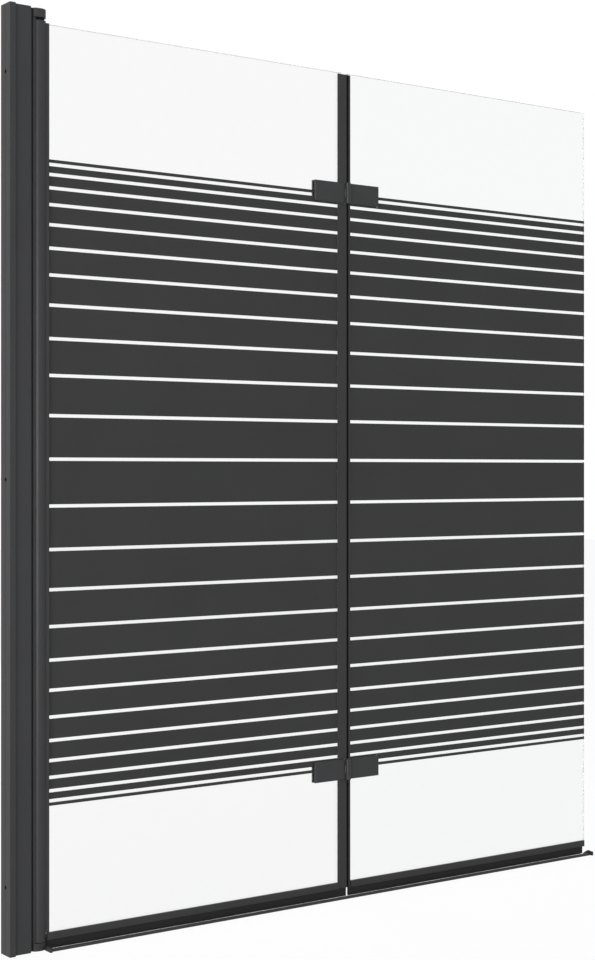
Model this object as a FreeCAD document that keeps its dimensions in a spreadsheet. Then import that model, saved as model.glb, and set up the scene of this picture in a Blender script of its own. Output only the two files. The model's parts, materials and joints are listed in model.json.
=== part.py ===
"""Folding bath screen: two banded glass panels that pivot on a wall channel and fold on glass hinges.

Frame: X runs from the wall along the closed screen, +Y points into the bath, Z goes up from the bath rim.
The wall is the plane X = 0, and the glass of the closed screen is centred on Y = 0. All lengths are in
millimetres.
"""
import FreeCAD, Part
import math
import os
from types import SimpleNamespace

import Sketcher

SIZES = {
    # wall channel
    "screen_height": 1400.0,
    "channel_width": 29.2,
    "channel_depth": 9.4,
    "channel_wall": 1.8,
    "channel_lip": 1.4,
    "channel_lip_reach": 1.6,
    "guide_groove_width": 3.0,
    "guide_groove_depth": 0.4,
    "wall_hole_diameter": 6.0,
    "wall_hole_inset": 100.0,
    # adjusting post and the caps over its lock screws
    "post_slip": 0.2,
    "post_stand_off": 0.8,
    "post_depth": 33.5,
    "post_wall": 1.6,
    "post_leg": 9.4,
    "post_groove": 5.8,
    "post_groove_depth": 6.5,
    "post_ridge": 2.3,
    "cup_reach": 2.6,
    "cup_width": 13.0,
    "screw_cap_spacing": 450.0,
    "screw_cap_radius": 4.1,
    "screw_cap_height": 2.95,
    # barrel seal
    "seal_neck": 3.0,
    "seal_head": 5.4,
    "seal_head_depth": 1.5,
    "seal_touch_gap": 0.3,
    # pivot brackets, pins and bushes
    "top_inset": 0.6,
    "bottom_inset": 0.5,
    "bracket_plate": 2.5,
    "top_nose_step": 0.4,
    "top_nose_height": 13.1,
    "bottom_nose_height": 11.4,
    "nose_length": 5.0,
    "nose_bevel": 0.7,
    "spigot_length": 16.0,
    "spigot_slip": 0.15,
    "bracket_screw_radius": 1.6,
    "bracket_screw_bite": 6.0,
    "bracket_head_radius": 2.9,
    "bracket_head_height": 1.7,
    "pin_radius": 3.0,
    "pin_reach": 18.0,
    "pin_clearance": 0.08,
    "fit_clearance": 0.05,
    "bush_length": 24.0,
    "lower_flange": 0.6,
    "bush_flange_rim": 1.4,
    "upper_collar": 4.0,
    "upper_collar_rim": 2.4,
    "thrust_gap": 0.3,
    # turning hinge profile
    "barrel_gap": 0.5,
    "barrel_radius": 10.2,
    "barrel_wall": 1.8,
    "barrel_rise": 2.6,
    "slot_offset": 6.6,
    "slot_depth": 7.0,
    "profile_wall": 2.6,
    "gasket_side": 1.4,
    "gasket_base": 1.3,
    # glass and its printed bands
    "glass_thickness": 6.0,
    "glass_arris": 0.5,
    "inner_span": 574.3,
    "outer_reach": 559.3,
    "band_step": 5.0,
    "band_gap": 5.0,
    "band_thickness": 0.1,
    "band_drop": 3.35,
    "band_clearance": 0.2,
    # seals along the fold
    "inner_edge_gap": 8.5,
    "outer_edge_gap": 3.0,
    "inner_seal_clip": 10.1,
    "inner_seal_back_clip": 4.2,
    "outer_seal_clip": 4.8,
    "inner_seal_side": 2.0,
    "outer_seal_side": 1.5,
    "edge_seal_bevel": 1.6,
    "edge_seal_gap": 0.4,
    "edge_seal_top_drop": 2.5,
    "edge_seal_hinge_gap": 0.3,
    # bottom rails and lips
    "rail_clearance": 14.1,
    "rail_web": 4.0,
    "rail_grip": 6.8,
    "rail_back_grip": 3.0,
    "rail_side": 3.8,
    "rail_slip": 0.2,
    "rail_gap": 0.5,
    "rail_clamp_gap": 0.4,
    "rail_seal_gap": 0.2,
    "rail_end_inset": 3.0,
    "rail_slot_lip": 1.5,
    "rail_slot_mouth": 3.2,
    "rail_slot_width": 6.0,
    "rail_slot_height": 1.4,
    "lip_slip": 0.1,
    "lip_width": 6.0,
    "lip_blade": 1.6,
    "lip_root": 2.0,
    "lip_clearance": 0.4,
    "lip_fold_gap": 1.5,
    "lip_end_gap": 1.5,
    # glass-to-glass hinges
    "hinge_spacing": 965.0,
    "fold_offset": 8.6,
    "leaf_height": 34.0,
    "leaf_length": 67.1,
    "leaf_thickness": 3.5,
    "leaf_bevel": 1.0,
    "back_plate_bevel": 1.0,
    "pad_thickness": 0.5,
    "knuckle_radius": 4.6,
    "middle_knuckle": 13.4,
    "knuckle_gap": 0.3,
    "leaf_clearance": 0.4,
    "hinge_pin_radius": 2.5,
    "hinge_screw_offset": 37.5,
    "hinge_screw_radius": 3.0,
    "hinge_screw_bite": 2.2,
    "hinge_head_radius": 5.2,
    "hinge_head_height": 2.2,
    "glass_hole_radius": 6.0,
    # threshold strip on the bath rim
    "strip_offset": 5.6,
    "strip_front": 22.4,
    "strip_depth": 11.4,
    "strip_height": 4.2,
    "strip_bevel": 0.6,
    "strip_top": 3.5,
    "strip_back_height": 1.9,
    "tape_margin": 2.0,
    "tape_thickness": 0.8,
    "cap_length": 3.0,
    "cap_front": 26.6,
    "cap_front_height": 6.7,
    "cap_peak_height": 7.9,
    "cap_peak_place": 14.0,
    "cap_foot_place": 1.6,
    # every cut runs this far past the faces that it opens
    "overrun": 2.0,
}
BAND_STEPS = 13

doc = FreeCAD.newDocument("BathScreen")
sheet = doc.addObject("Spreadsheet::Sheet", "Sizes")
for row, (alias, length) in enumerate(SIZES.items(), start=1):
    sheet.set(f"A{row}", alias)
    sheet.set(f"B{row}", str(length))
    sheet.setAlias(f"B{row}", alias)
doc.recompute()


class Size:
    """A length together with the expression that ties it to the sheet."""

    def __init__(self, value, text):
        self.value = value
        self.text = text

    def __add__(self, other):
        return Size(self.value + value_of(other), f"({self.text} + {text_of(other)})")

    def __sub__(self, other):
        return Size(self.value - value_of(other), f"({self.text} - {text_of(other)})")

    def __mul__(self, other):
        return Size(self.value * value_of(other), f"({self.text} * {text_of(other)})")

    def __truediv__(self, other):
        return Size(self.value / value_of(other), f"({self.text} / {text_of(other)})")

    def __neg__(self):
        return Size(-self.value, f"(0 - {self.text})")


def value_of(size):
    return size.value if isinstance(size, Size) else size


def text_of(size):
    return size.text if isinstance(size, Size) else str(size)


ZERO = Size(0, "0")
d = SimpleNamespace(**{name: Size(sheet.get(name), f"Sizes.{name}") for name in SIZES})

# Places along X
channel_half = d.channel_width / 2
post_half = channel_half - d.channel_wall - d.channel_lip_reach - d.post_slip
post_start = d.channel_wall + d.post_stand_off
post_box_end = post_start + d.post_depth
ridge_start = post_box_end + d.post_groove
post_end = ridge_start + d.post_ridge
leg_end = post_start + d.post_leg
post_room_start = leg_end + d.post_wall
post_room_end = post_box_end - d.post_wall
post_room_half = post_half - d.post_wall
groove_half = post_half - d.post_groove_depth
seal_room_half = groove_half - d.post_wall
seal_room_end = post_end - d.post_wall
pivot_x = post_end + d.barrel_gap + d.barrel_radius
slot_bottom = pivot_x + d.slot_offset
profile_end = slot_bottom + d.slot_depth
fold_x = pivot_x + d.inner_span
fold_y = -d.fold_offset
inner_glass_start = slot_bottom + d.gasket_base
inner_glass_end = fold_x - d.inner_edge_gap
outer_glass_start = fold_x + d.outer_edge_gap
outer_glass_end = fold_x + d.outer_reach
inner_seal_start = inner_glass_end - d.inner_seal_clip
outer_seal_end = outer_glass_start + d.outer_seal_clip
strip_start = pivot_x + d.strip_offset
strip_end = outer_glass_end

# Places through the thickness
glass_half = d.glass_thickness / 2
slot_half = glass_half + d.gasket_side
profile_half = slot_half + d.profile_wall
rail_half = glass_half + d.rail_slip + d.rail_side
plate_inner = glass_half + d.pad_thickness
plate_outer = plate_inner + d.leaf_thickness

# Heights
bracket_top = d.screen_height - d.top_inset
post_bottom = d.bottom_inset + d.bracket_plate
post_top = bracket_top - d.bracket_plate
bottom_nose_top = d.bottom_inset + d.bottom_nose_height
top_nose_top = bracket_top - d.top_nose_step
top_nose_bottom = top_nose_top - d.top_nose_height
barrel_bottom = bottom_nose_top + d.thrust_gap + d.lower_flange
barrel_top = top_nose_bottom - d.thrust_gap - d.upper_collar
panel_top = barrel_top - d.barrel_rise
rail_bottom = d.rail_clearance
glass_bottom = rail_bottom + d.rail_web
rail_top = glass_bottom + d.rail_grip
clamp_bottom = rail_top + d.rail_clamp_gap
lip_bottom = d.strip_height + d.lip_clearance
band_middle = (glass_bottom + panel_top) / 2 - d.band_drop
hinge_heights = {
    "lower": band_middle - d.hinge_spacing / 2,
    "upper": band_middle + d.hinge_spacing / 2,
}


# Drawing and solid helpers


def new_body(label):
    body = doc.addObject("PartDesign::Body", label)
    body.Label = label
    return body


def new_sketch(body, name, role, offset):
    """A sketch on one of the body's own planes, moved along the plane's normal."""
    sketch = body.newObject("Sketcher::SketchObject", name)
    plane = next(feature for feature in body.Origin.OriginFeatures if feature.Role == role)
    sketch.AttachmentSupport = [(plane, "")]
    sketch.MapMode = "FlatFace"
    sketch.setExpression("AttachmentOffset.Base.z", offset.text)
    return sketch


def tie(sketch, kind, geometry, end, size):
    """Ties one coordinate of a sketch point to the sheet."""
    index = sketch.addConstraint(Sketcher.Constraint(kind, -1, 1, geometry, end, size.value))
    sketch.setExpression(f"Constraints[{index}]", size.text)


def tie_radius(sketch, geometry, radius):
    index = sketch.addConstraint(Sketcher.Constraint("Radius", geometry, radius.value))
    sketch.setExpression(f"Constraints[{index}]", radius.text)


def draw_polygon(sketch, points):
    """A closed outline with every corner tied to its two places."""
    first = sketch.GeometryCount
    corners = [FreeCAD.Vector(x.value, y.value, 0) for x, y in points]
    for corner, following in zip(corners, corners[1:] + corners[:1]):
        sketch.addGeometry(Part.LineSegment(corner, following))
    for index, (x, y) in enumerate(points):
        following = (index + 1) % len(points)
        sketch.addConstraint(Sketcher.Constraint("Coincident", first + index, 2, first + following, 1))
        tie(sketch, "DistanceX", first + index, 1, x)
        tie(sketch, "DistanceY", first + index, 1, y)


def draw_circle(sketch, x, y, radius):
    circle = Part.Circle(FreeCAD.Vector(x.value, y.value, 0), FreeCAD.Vector(0, 0, 1), radius.value)
    index = sketch.addGeometry(circle)
    tie(sketch, "DistanceX", index, 3, x)
    tie(sketch, "DistanceY", index, 3, y)
    tie_radius(sketch, index, radius)


def draw_dee(sketch, x, radius, chord):
    """A circle about a point on the sketch's first axis, cut off by a chord on its far side."""
    centre = FreeCAD.Vector(x.value, 0, 0)
    half_angle = math.acos((chord.value - x.value) / radius.value)
    circle = Part.Circle(centre, FreeCAD.Vector(0, 0, 1), radius.value)
    arc = sketch.addGeometry(Part.ArcOfCircle(circle, half_angle, 2 * math.pi - half_angle))
    rise = radius.value * math.sin(half_angle)
    chord_ends = FreeCAD.Vector(chord.value, -rise, 0), FreeCAD.Vector(chord.value, rise, 0)
    line = sketch.addGeometry(Part.LineSegment(*chord_ends))
    sketch.addConstraint(Sketcher.Constraint("Coincident", arc, 2, line, 1))
    sketch.addConstraint(Sketcher.Constraint("Coincident", line, 2, arc, 1))
    tie(sketch, "DistanceX", arc, 3, x)
    tie(sketch, "DistanceY", arc, 3, ZERO)
    tie_radius(sketch, arc, radius)
    tie(sketch, "DistanceX", arc, 1, chord)
    tie(sketch, "DistanceX", arc, 2, chord)


def draw(sketch, polygons, circles, dees):
    for points in polygons:
        draw_polygon(sketch, points)
    for x, y, radius in circles:
        draw_circle(sketch, x, y, radius)
    for x, radius, chord in dees:
        draw_dee(sketch, x, radius, chord)


def extrude(body, name, role, start, length, polygons=(), circles=(), dees=()):
    """Material from a section, from its start along the plane's normal."""
    sketch = new_sketch(body, f"{name}_section", role, start)
    draw(sketch, polygons, circles, dees)
    pad = body.newObject("PartDesign::Pad", name)
    pad.Profile = sketch
    pad.setExpression("Length", length.text)
    return pad


def cut(body, name, role, start, length, polygons=(), circles=(), dees=()):
    """A cut with a section, from its start along the plane's normal."""
    sketch = new_sketch(body, f"{name}_section", role, start)
    draw(sketch, polygons, circles, dees)
    pocket = body.newObject("PartDesign::Pocket", name)
    pocket.Profile = sketch
    pocket.setExpression("Length", length.text)
    pocket.Reversed = True
    return pocket


def bevel_edges(body, base, name, size, chosen):
    """Chamfers the edges of the body's last feature that the test picks out."""
    doc.recompute()
    edges = [f"Edge{index}" for index, edge in enumerate(base.Shape.Edges, start=1) if chosen(edge)]
    chamfer = body.newObject("PartDesign::Chamfer", name)
    chamfer.Base = (base, edges)
    chamfer.setExpression("Size", size.text)
    return chamfer


def rectangle(x_low, x_high, y_low, y_high):
    return [(x_low, y_low), (x_high, y_low), (x_high, y_high), (x_low, y_high)]


def place(piece, x, y, z):
    """Binds where a piece stands."""
    for axis, size in zip("xyz", (x, y, z)):
        piece.setExpression(f"Placement.Base.{axis}", size.text)
    return piece


def box(name, x_low, x_high, y_low, y_high, z_low, z_high):
    block = doc.addObject("Part::Box", name)
    block.setExpression("Length", (x_high - x_low).text)
    block.setExpression("Width", (y_high - y_low).text)
    block.setExpression("Height", (z_high - z_low).text)
    return place(block, x_low, y_low, z_low)


def rod(name, radius, height):
    cylinder = doc.addObject("Part::Cylinder", name)
    cylinder.setExpression("Radius", radius.text)
    cylinder.setExpression("Height", height.text)
    return cylinder


def towards_viewer(piece):
    """Turns a piece that was made along +Z so that it points along -Y."""
    piece.Placement = FreeCAD.Placement(
        FreeCAD.Vector(0, 0, 0), FreeCAD.Rotation(FreeCAD.Vector(1, 0, 0), 90)
    )
    return piece


def fuse(name, *pieces):
    joined = doc.addObject("Part::MultiFuse", name)
    joined.Shapes = list(pieces)
    return joined


def group(label, pieces):
    """Identical pieces as one node of separate solids."""
    compound = doc.addObject("Part::Compound", label)
    compound.Label = label
    compound.Links = list(pieces)
    return compound


def less(label, base, tool):
    difference = doc.addObject("Part::Cut", label)
    difference.Label = label
    difference.Base = base
    difference.Tool = tool
    return difference


# Wall channel and adjusting post


def wall_channel():
    """Extrusion with inturned lips, a drilling groove in its back and three wall holes."""
    body = new_body("wall_channel")
    inside = channel_half - d.channel_wall
    mouth = inside - d.channel_lip_reach
    lip_start = d.channel_depth - d.channel_lip
    guide_half = d.guide_groove_width / 2
    half = [
        (d.channel_depth, mouth),
        (lip_start, mouth),
        (lip_start, inside),
        (d.channel_wall, inside),
    ]
    section = [
        (ZERO, guide_half),
        (ZERO, channel_half),
        (d.channel_depth, channel_half),
        *half,
        *[(x, -y) for x, y in reversed(half)],
        (d.channel_depth, -channel_half),
        (ZERO, -channel_half),
        (ZERO, -guide_half),
        (d.guide_groove_depth, ZERO),
    ]
    extrude(body, "channel_extrusion", "XY_Plane", ZERO, d.screen_height, [section])
    hole_heights = (
        d.wall_hole_inset,
        d.screen_height / 2,
        d.screen_height - d.wall_hole_inset,
    )
    cut(
        body, "wall_holes", "YZ_Plane", -d.overrun, d.channel_wall + d.overrun * 2,
        circles=[(ZERO, height, d.wall_hole_diameter / 2) for height in hole_heights],
    )
    return body


def hinge_post():
    """Extrusion with legs in the channel, a room for the spigots and an end cupped for the barrel."""
    body = new_body("hinge_post")
    seal_slot = d.seal_neck / 2 + d.fit_clearance
    cup_tip = post_end + d.cup_reach
    half = [
        (leg_end, post_room_half),
        (post_start, post_room_half),
        (post_start, post_half),
        (post_box_end, post_half),
        (post_box_end, groove_half),
        (ridge_start, groove_half),
        (ridge_start, d.cup_width / 2),
        (cup_tip, d.cup_width / 2),
        (cup_tip, seal_slot),
        (seal_room_end, seal_slot),
        (seal_room_end, seal_room_half),
        (post_box_end, seal_room_half),
    ]
    section = [*half, *[(x, -y) for x, y in reversed(half)]]
    room = rectangle(post_room_start, post_room_end, -post_room_half, post_room_half)
    extrude(body, "post_extrusion", "XY_Plane", post_bottom, post_top - post_bottom, [section, room])
    cut(
        body, "barrel_cup", "XY_Plane", post_bottom, post_top - post_bottom,
        circles=[(pivot_x, ZERO, d.barrel_radius + d.barrel_gap)],
    )
    notch = rectangle(post_box_end, cup_tip + d.overrun, -post_half - d.overrun, post_half + d.overrun)
    notch_low = post_bottom - d.overrun
    cut(body, "lower_notch", "XY_Plane", notch_low, bottom_nose_top - notch_low, [notch])
    cut(body, "upper_notch", "XY_Plane", top_nose_bottom, post_top + d.overrun - top_nose_bottom, [notch])
    cut(
        body, "bracket_holes", "XZ_Plane", -post_half - d.overrun, d.post_wall + d.overrun * 2,
        circles=[(x, z, bracket_screw_hole) for x, z in bracket_screw_places],
    )
    return body


def barrel_seal():
    """Soft wiper whose head sits in the post and whose edge meets the barrel."""
    body = new_body("barrel_seal")
    neck_half = d.seal_neck / 2
    head_half = d.seal_head / 2
    head_end = seal_room_end - d.fit_clearance
    tip = post_end + d.barrel_gap - d.seal_touch_gap
    half = [
        (tip, neck_half),
        (head_end, neck_half),
        (head_end, head_half),
        (head_end - d.seal_head_depth, head_half),
    ]
    section = [*half, *[(x, -y) for x, y in reversed(half)]]
    low = bottom_nose_top + d.thrust_gap
    high = top_nose_bottom - d.thrust_gap
    extrude(body, "wiper", "XY_Plane", low, high - low, [section])
    return body


def screw_caps():
    """Round covers on the channel's inner flange, over the hidden screws that lock the post."""
    x = (post_start + d.channel_depth - d.channel_lip) / 2
    caps = []
    for number, step in enumerate((-1, 0, 1), start=1):
        cap = towards_viewer(rod(f"screw_cap_{number}", d.screw_cap_radius, d.screw_cap_height))
        height = d.screen_height / 2 + d.screw_cap_spacing * step
        caps.append(place(cap, x, channel_half + d.screw_cap_height, height))
    return group("screw_caps", caps)


# Pivot brackets, pins and bushes


spigot_half = post_room_half - d.spigot_slip
spigot_start = post_room_start + d.spigot_slip
spigot_end = post_room_end - d.spigot_slip
bracket_screw_hole = d.bracket_screw_radius + d.fit_clearance
bracket_screw_x = (spigot_start + spigot_end) / 2
bracket_screw_places = [
    (bracket_screw_x, post_bottom + d.spigot_length / 2),
    (bracket_screw_x, post_top - d.spigot_length / 2),
]


def bracket(label, plate_low, nose_low, nose_height, spigot_low, pin_low, rim, screw_place):
    """Plate over the post's end, spigot in its room and an oval nose that carries a pivot pin."""
    body = new_body(label)
    nose_back = pivot_x - d.nose_length
    for name, centre in (("back", nose_back), ("front", pivot_x)):
        extrude(
            body, f"{label}_nose_{name}", "XY_Plane", nose_low, nose_height,
            circles=[(centre, ZERO, d.barrel_radius)],
        )
    middle = rectangle(nose_back, pivot_x, -d.barrel_radius, d.barrel_radius)
    base = extrude(body, f"{label}_nose_middle", "XY_Plane", nose_low, nose_height, [middle])
    bevel_edges(
        body, base, f"{label}_rim", d.nose_bevel,
        lambda edge: abs(edge.BoundBox.ZMin - rim.value) < d.fit_clearance.value
        and abs(edge.BoundBox.ZMax - rim.value) < d.fit_clearance.value,
    )
    arm = rectangle(post_box_end, nose_back, -groove_half, groove_half)
    extrude(body, f"{label}_arm", "XY_Plane", nose_low, nose_height, [arm])
    plate = rectangle(post_start, post_box_end, -post_half, post_half)
    extrude(body, f"{label}_plate", "XY_Plane", plate_low, d.bracket_plate, [plate])
    spigot = rectangle(spigot_start, spigot_end, -spigot_half, spigot_half)
    extrude(body, f"{label}_spigot", "XY_Plane", spigot_low, d.spigot_length, [spigot])
    cut(
        body, f"{label}_pin_hole", "XY_Plane", pin_low, nose_height,
        circles=[(pivot_x, ZERO, d.pin_radius + d.fit_clearance)],
    )
    cut(
        body, f"{label}_screw_hole", "XZ_Plane", -spigot_half - d.overrun, d.bracket_screw_bite + d.overrun,
        circles=[(*screw_place, bracket_screw_hole)],
    )
    return body


def top_bracket():
    return bracket(
        "top_bracket", post_top, top_nose_bottom, d.top_nose_height, post_top - d.spigot_length,
        top_nose_bottom - d.bracket_plate, top_nose_top, bracket_screw_places[1],
    )


def bottom_bracket():
    return bracket(
        "bottom_bracket", d.bottom_inset, d.bottom_inset, d.bottom_nose_height, post_bottom,
        d.bottom_inset + d.bracket_plate, d.bottom_inset, bracket_screw_places[0],
    )


def bracket_screws():
    """Pan-head screws through the post's inner wall into the spigots."""
    screws = []
    for number, (x, z) in enumerate(bracket_screw_places, start=1):
        shank_length = post_half - spigot_half + d.bracket_screw_bite - d.fit_clearance
        shank = towards_viewer(rod(f"bracket_screw_shank_{number}", d.bracket_screw_radius, shank_length))
        place(shank, x, post_half, z)
        head = rod(f"bracket_screw_head_{number}", d.bracket_head_radius, d.bracket_head_height)
        place(towards_viewer(head), x, post_half + d.bracket_head_height, z)
        screws.append(fuse(f"bracket_screw_{number}", shank, head))
    return group("bracket_screws", screws)


def pivot_pin(label, low, high):
    """Round pin from the bracket's nose into the bush."""
    body = new_body(label)
    extrude(body, f"{label}_rod", "XY_Plane", low, high - low, circles=[(pivot_x, ZERO, d.pin_radius)])
    return body


def top_pivot_pin():
    return pivot_pin("top_pivot_pin", panel_top - d.pin_reach, top_nose_top - d.bracket_plate)


def bottom_pivot_pin():
    return pivot_pin("bottom_pivot_pin", d.bottom_inset + d.bracket_plate, barrel_bottom + d.pin_reach)


barrel_room_radius = d.barrel_radius - d.barrel_wall
barrel_room_chord = slot_bottom - d.barrel_wall


def bush(label, plug_low, collar):
    """Plug with a flat side that fills the barrel's end, with a round collar outside it, on the pivot pin."""
    body = new_body(label)
    collar_low, collar_height, rim = collar
    extrude(
        body, f"{label}_plug", "XY_Plane", plug_low, d.bush_length,
        dees=[(pivot_x, barrel_room_radius - d.fit_clearance, barrel_room_chord - d.fit_clearance)],
    )
    extrude(
        body, f"{label}_collar", "XY_Plane", collar_low, collar_height,
        circles=[(pivot_x, ZERO, d.barrel_radius - rim)],
    )
    bore_low = min(plug_low, collar_low, key=value_of) - d.overrun
    cut(
        body, f"{label}_bore", "XY_Plane", bore_low, d.bush_length + collar_height + d.overrun * 2,
        circles=[(pivot_x, ZERO, d.pin_radius + d.pin_clearance)],
    )
    return body


def upper_bush():
    collar = (barrel_top, d.upper_collar, d.upper_collar_rim)
    return bush("upper_bush", barrel_top - d.bush_length, collar)


def lower_bush():
    flange = (barrel_bottom - d.lower_flange, d.lower_flange, d.bush_flange_rim)
    return bush("lower_bush", barrel_bottom, flange)


# Turning profile and glass


def hinge_profile():
    """Extrusion of a round barrel with a clamp for the inner glass, cut away above the bottom rail."""
    body = new_body("hinge_profile")
    barrel_height = barrel_top - barrel_bottom
    extrude(
        body, "barrel", "XY_Plane", barrel_bottom, barrel_height, circles=[(pivot_x, ZERO, d.barrel_radius)]
    )
    clamp = rectangle(pivot_x, profile_end, -profile_half, profile_half)
    extrude(body, "clamp", "XY_Plane", clamp_bottom, panel_top - clamp_bottom, [clamp])
    slot = rectangle(slot_bottom, profile_end + d.overrun, -slot_half, slot_half)
    cut(body, "glass_slot", "XY_Plane", barrel_bottom, barrel_height, [slot])
    cut(
        body, "barrel_room", "XY_Plane", barrel_bottom, barrel_height,
        dees=[(pivot_x, barrel_room_radius, barrel_room_chord)],
    )
    return body


def glazing_gasket():
    """U-shaped gasket between the slot and the glass."""
    body = new_body("glazing_gasket")
    section = [
        (slot_bottom, -slot_half),
        (profile_end, -slot_half),
        (profile_end, -glass_half),
        (inner_glass_start, -glass_half),
        (inner_glass_start, glass_half),
        (profile_end, glass_half),
        (profile_end, slot_half),
        (slot_bottom, slot_half),
    ]
    extrude(body, "gasket_extrusion", "XY_Plane", clamp_bottom, panel_top - clamp_bottom, [section])
    return body


def hinge_screw_places(side):
    """Where the hinge screws go through one panel's glass, in X and Z."""
    return [(fold_x + d.hinge_screw_offset * side, height) for height in hinge_heights.values()]


def glass(label, start, end, side):
    """Toughened sheet with arrised edges and the holes for its hinge screws."""
    body = new_body(label)
    sheet_outline = rectangle(start, end, glass_bottom, panel_top)
    pane = extrude(body, f"{label}_pane", "XZ_Plane", -glass_half, d.glass_thickness, [sheet_outline])
    bevel_edges(
        body, pane, f"{label}_arris", d.glass_arris,
        lambda edge: abs(edge.CenterOfMass.y) > glass_half.value - d.fit_clearance.value,
    )
    cut(
        body, f"{label}_holes", "XZ_Plane", -glass_half - d.overrun, d.glass_thickness + d.overrun * 2,
        circles=[(x, z, d.glass_hole_radius) for x, z in hinge_screw_places(side)],
    )
    return body


def band_heights():
    """Lower and upper height of every printed band, thin at both ends and widest in the middle."""
    steps = [*range(1, BAND_STEPS), *range(BAND_STEPS, 0, -1)]
    pattern = d.band_step * sum(steps) + d.band_gap * (len(steps) - 1)
    low = band_middle - pattern / 2
    heights = []
    for step in steps:
        high = low + d.band_step * step
        heights.append((low, high))
        low = high + d.band_gap
    return heights


def bands(label, start, end, plate_low, plate_high):
    """Printed bands on the outer face of the glass, kept clear of the hinge plates."""
    stripes = [
        box(f"{label}_{number}", start, end, -glass_half - d.band_thickness, -glass_half, low, high)
        for number, (low, high) in enumerate(band_heights(), start=1)
    ]
    windows = [
        box(
            f"{label}_{name}_window", plate_low - d.band_clearance, plate_high + d.band_clearance,
            -glass_half - d.overrun, -glass_half + d.overrun,
            height - d.leaf_height / 2 - d.band_clearance, height + d.leaf_height / 2 + d.band_clearance,
        )
        for name, height in hinge_heights.items()
    ]
    return less(label, group(f"{label}_print", stripes), fuse(f"{label}_windows", *windows))


def edge_seal(label, clip_edge, back_clip_edge, glass_edge, side, thickness):
    """Soft profile clipped on the glass along the fold, cut away at the hinges."""
    body = new_body(label)
    seal_half = glass_half + thickness
    nose = fold_x - d.edge_seal_gap / 2 * side
    bevel = nose - d.edge_seal_bevel * side
    tip_half = seal_half - d.edge_seal_bevel
    section = [
        (clip_edge, -seal_half),
        (bevel, -seal_half),
        (nose, -tip_half),
        (nose, tip_half),
        (bevel, seal_half),
        (back_clip_edge, seal_half),
        (back_clip_edge, glass_half),
        (glass_edge, glass_half),
        (glass_edge, -glass_half),
        (clip_edge, -glass_half),
    ]
    high = panel_top - d.edge_seal_top_drop
    extrude(body, f"{label}_length", "XY_Plane", rail_bottom, high - rail_bottom, [section])
    reach = d.leaf_height / 2 + d.edge_seal_hinge_gap
    clip_side = clip_edge - d.overrun * side
    nose_side = nose + d.overrun * side
    gaps = [
        rectangle(clip_side, nose_side, height - reach, height + reach) for height in hinge_heights.values()
    ]
    cut(body, f"{label}_gaps", "XZ_Plane", -seal_half - d.overrun, (seal_half + d.overrun) * 2, gaps)
    return body


# Bottom rails and lips


def rail(label, start, end):
    """Clamp under the glass, lower on the bath side, with a slot below that holds the lip."""
    body = new_body(label)
    grip = glass_half + d.rail_slip
    mouth = d.rail_slot_mouth / 2
    slot = d.rail_slot_width / 2
    slot_low = rail_bottom + d.rail_slot_lip
    slot_high = slot_low + d.rail_slot_height
    foot = [
        (slot, slot_high),
        (slot, slot_low),
        (mouth, slot_low),
        (mouth, rail_bottom),
        (rail_half, rail_bottom),
    ]
    back_top = glass_bottom + d.rail_back_grip
    section = [
        *foot,
        (rail_half, back_top),
        (grip, back_top),
        (grip, glass_bottom),
        (-grip, glass_bottom),
        (-grip, rail_top),
        (-rail_half, rail_top),
        *[(-y, z) for y, z in reversed(foot)],
    ]
    extrude(body, f"{label}_extrusion", "YZ_Plane", start, end - start, [section])
    return body


def lip(label, start, end, rail_end):
    """Soft double blade on a root in the rail's slot; past the rail's end the root is trimmed off."""
    body = new_body(label)
    neck = d.rail_slot_mouth / 2 - d.lip_slip
    head = d.rail_slot_width / 2 - d.lip_slip
    head_low = rail_bottom + d.rail_slot_lip + d.lip_slip
    head_high = rail_bottom + d.rail_slot_lip + d.rail_slot_height - d.lip_slip
    outside = d.lip_width / 2
    inside = outside - d.lip_blade
    shoulder = rail_bottom - d.lip_slip
    root = [(head, head_high), (head, head_low), (neck, head_low), (neck, shoulder)]
    blade = [
        (outside, shoulder),
        (outside, lip_bottom),
        (inside, lip_bottom),
        (inside, shoulder - d.lip_root),
        (-inside, shoulder - d.lip_root),
        (-inside, lip_bottom),
        (-outside, lip_bottom),
        (-outside, shoulder),
    ]
    root_end = min(end, rail_end, key=value_of)
    section = [*root, *blade, *[(-y, z) for y, z in reversed(root)]]
    extrude(body, f"{label}_extrusion", "YZ_Plane", start, root_end - start, [section])
    if root_end is not end:
        extrude(body, f"{label}_tail", "YZ_Plane", root_end, end - root_end, [blade])
    return body


# Glass-to-glass hinges, modelled about the pin's axis


leaf_front = d.fold_offset - plate_outer
leaf_back = d.fold_offset - plate_inner
leaf_near = d.knuckle_radius + d.leaf_clearance
middle_half = d.middle_knuckle / 2
leaf_half = d.leaf_height / 2
hinge_screw_hole = d.hinge_screw_radius + d.fit_clearance
outer_knuckles = [
    (-leaf_half, leaf_half - middle_half - d.knuckle_gap),
    (middle_half + d.knuckle_gap, leaf_half - middle_half - d.knuckle_gap),
]
middle_knuckles = [(-middle_half, d.middle_knuckle)]


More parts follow.
